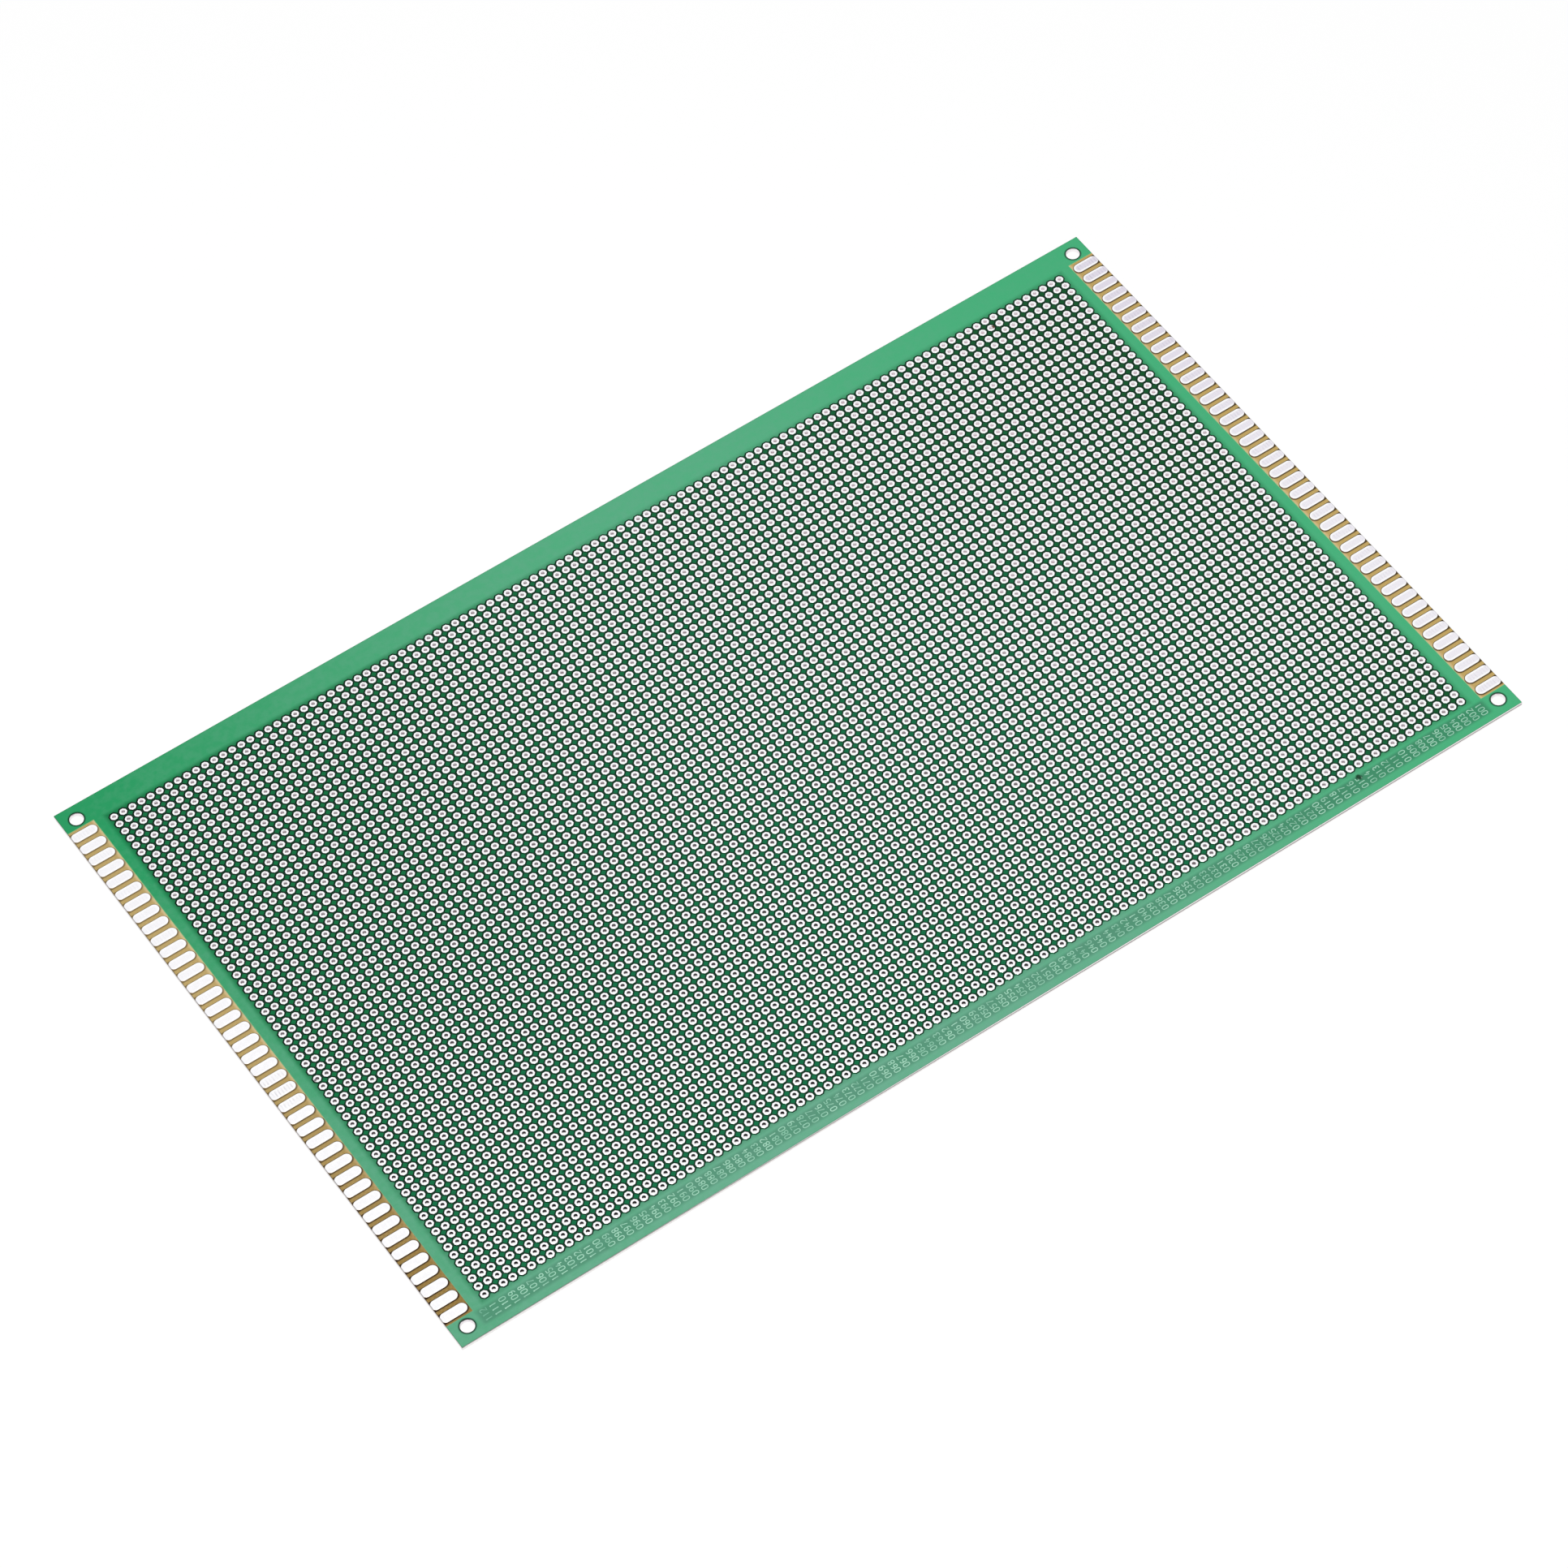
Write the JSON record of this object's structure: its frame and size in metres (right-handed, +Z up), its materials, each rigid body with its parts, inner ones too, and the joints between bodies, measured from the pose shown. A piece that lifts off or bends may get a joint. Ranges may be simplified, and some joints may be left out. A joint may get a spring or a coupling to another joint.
{
  "type": "prototype circuit board",
  "caption": "Rectangular single-sided prototype circuit board: tinned octagonal pads on a square grid, green solder mask, bare edge contacts at both short ends, a mounting hole in each corner.",
  "frame": {"origin": "middle of the board's underside", "axes": "+X along the long side, +Y along the short side, away from the column numbers, +Z up, out of the solder pads"},
  "size_m": [0.3, 0.18, 0.0013],
  "materials": {
    "bare_laminate": "bare woven-glass epoxy, tan, satin",
    "green_mask": "green solder mask, semi-gloss",
    "tin": "bright tin over copper, lightly rippled",
    "number_ink": "pale green screen print"
  },
  "bodies": {
    "root": {"laminate": "bare_laminate", "pad_strips": "tin", "solder_mask": "green_mask", "mask_webs": "green_mask", "contacts_left": "tin", "contacts_right": "tin", "column_numbers": "number_ink"}
  },
  "joints": []
}
